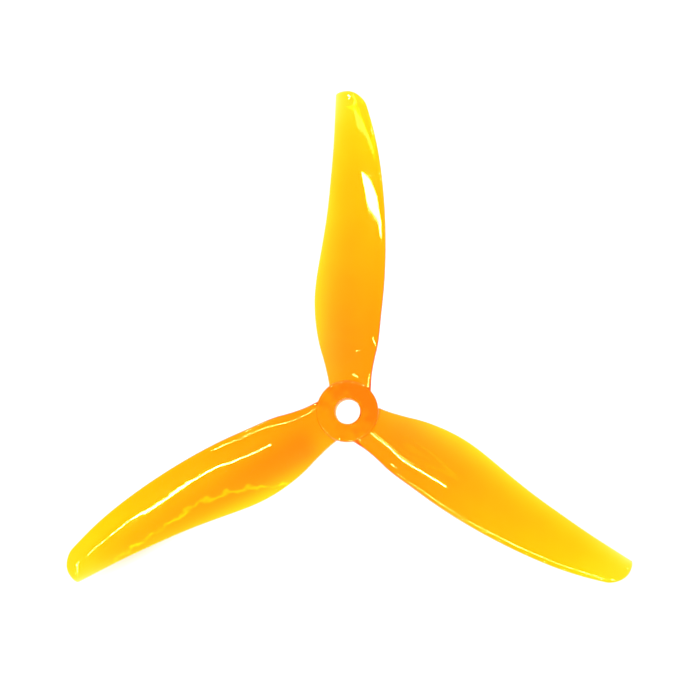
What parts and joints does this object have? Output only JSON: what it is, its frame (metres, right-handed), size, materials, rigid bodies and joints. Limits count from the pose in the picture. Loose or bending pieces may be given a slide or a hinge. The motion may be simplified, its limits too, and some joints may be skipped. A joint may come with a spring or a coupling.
{
  "type": "multirotor propeller",
  "caption": "Clear orange multirotor propeller with swept, twisted blades on a short bored hub; it clamps on a drone motor's shaft and spins to make thrust.",
  "frame": {"origin": "centre of the hub's base face, on the spin axis", "axes": "+Z along the spin axis from the motor side to the nut side, +Y along blade_1"},
  "size_m": [0.1133, 0.099, 0.0089],
  "materials": {
    "orange_polycarbonate": "clear dyed orange polycarbonate, injection moulded, polished; thin tips and edges look yellow"
  },
  "bodies": {
    "root": {"hub": "orange_polycarbonate", "blade_1": "orange_polycarbonate", "blade_2": "orange_polycarbonate", "blade_3": "orange_polycarbonate"}
  },
  "joints": []
}
